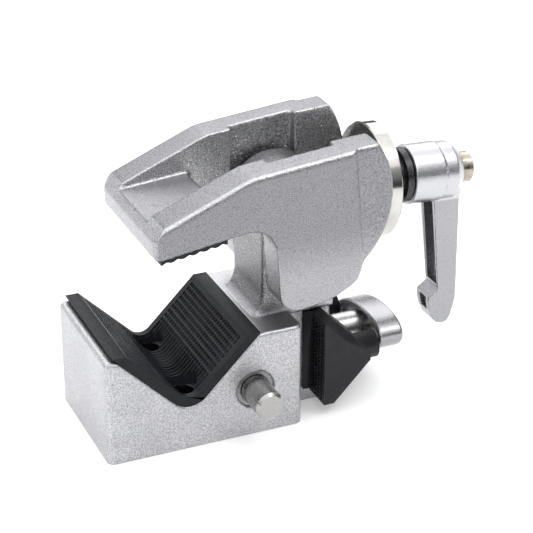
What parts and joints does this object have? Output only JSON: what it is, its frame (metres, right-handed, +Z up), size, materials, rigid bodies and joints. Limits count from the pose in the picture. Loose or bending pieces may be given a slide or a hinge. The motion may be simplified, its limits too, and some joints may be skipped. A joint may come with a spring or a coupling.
{
  "type": "super clamp",
  "caption": "Cast studio clamp: V groove with rubber pads, swinging jaw closed by a lever screw, hexagonal stud socket with spring pin and lock knob, removable wedge.",
  "frame": {"origin": "centre of the hexagonal stud socket's mouth, on the flat underside of the block", "axes": "+Z up the stem, +X from the jaws to the handle, Y along the jaw's hinge bar"},
  "size_m": [0.136, 0.0599, 0.0931],
  "materials": {
    "cast_aluminium": "sand cast, satin",
    "pad_rubber": "moulded, matt",
    "zinc_plated_steel": "satin zinc plate",
    "polished_nickel": "polished nickel plate",
    "die_cast_lever": "satin die cast zinc",
    "wedge_plastic": "moulded, matt",
    "black_oxide_steel": "black oxide, oiled",
    "brass_tip": "plain",
    "spring_wire": "drawn wire"
  },
  "bodies": {
    "body": {"clamp_body": "cast_aluminium", "lower_pad": "pad_rubber", "peg_cups": "zinc_plated_steel", "safety_pin_ring": "spring_wire", "safety_pin_plug": "zinc_plated_steel", "safety_pin_spring": "spring_wire"},
    "jaw": {"moving_jaw": "cast_aluminium", "upper_pad": "pad_rubber", "upper_pad_rivets": "zinc_plated_steel"},
    "nut": {"barrel_nut": "zinc_plated_steel"},
    "disc": {"thrust_disc": "polished_nickel", "thrust_washer": "zinc_plated_steel"},
    "screw": {"clamp_screw": "black_oxide_steel", "lever_insert": "black_oxide_steel", "lever_screw": "polished_nickel"},
    "lever_seat": {"seat_washer": "zinc_plated_steel", "lever_spring": "spring_wire"},
    "lever": {"lever": "die_cast_lever"},
    "pin": {"safety_pin": "zinc_plated_steel"},
    "lock_tip": {"lock_tip": "brass_tip"},
    "lock": {"lock_screw": "zinc_plated_steel", "lock_knob": "die_cast_lever", "lock_knob_screw": "zinc_plated_steel"},
    "wedge": {"wedge_insert": "wedge_plastic"}
  },
  "joints": [
    {"name": "jaw_swing", "type": "hinge", "parent": "body", "child": "jaw", "pos_m": [0.009, 0, 0.051], "axis": [0, -1, 0], "range_deg": [-18, 43]},
    {"name": "nut_swivel", "type": "hinge", "parent": "body", "child": "nut", "pos_m": [0.007, 0, 0.072], "axis": [0, -1, 0], "range_deg": [-5, 11]},
    {"name": "screw_travel", "type": "slide", "parent": "nut", "child": "disc", "axis": [-0.999, 0, 0.0436], "range_m": [-0.007, 0.0168]},
    {"name": "handle_turn", "type": "hinge", "parent": "disc", "child": "screw", "pos_m": [0.007, 0, 0.072], "axis": [-0.999, 0, 0.0436], "range_deg": [-842, 2018]},
    {"name": "lever_lift", "type": "slide", "parent": "screw", "child": "lever_seat", "axis": [0.999, 0, -0.0436], "range_m": [0, 0.0035], "stiffness_N_per_m": 1500, "springref_m": -0.004, "deforming": ["lever_spring"]},
    {"name": "lever_index", "type": "hinge", "parent": "lever_seat", "child": "lever", "pos_m": [0.007, 0, 0.072], "axis": [0.999, 0, -0.0436], "continuous": true},
    {"name": "safety_pin_push", "type": "slide", "parent": "body", "child": "pin", "axis": [0, 1, 0], "range_m": [0, 0.01], "stiffness_N_per_m": 400, "springref_m": -0.006, "deforming": ["safety_pin_spring"]},
    {"name": "lock_travel", "type": "slide", "parent": "body", "child": "lock_tip", "axis": [1, 0, 0], "range_m": [0, 0.00375]},
    {"name": "lock_turn", "type": "hinge", "parent": "lock_tip", "child": "lock", "pos_m": [0.02, 0, 0.0184], "axis": [1, 0, 0], "range_deg": [0, 1081]},
    {"name": "wedge_removal", "type": "slide", "parent": "body", "child": "wedge", "axis": [0, 0, -1], "range_m": [0, 0.03]}
  ],
  "couplings": [
    {"joint": "handle_turn", "follows": "screw_travel", "rad_per_m": 2094.4},
    {"joint": "jaw_swing", "follows": "screw_travel", "rad_per_m": 44.543},
    {"joint": "nut_swivel", "follows": "screw_travel", "rad_per_m": 11.136},
    {"joint": "lock_turn", "follows": "lock_travel", "rad_per_m": 5026.5}
  ]
}
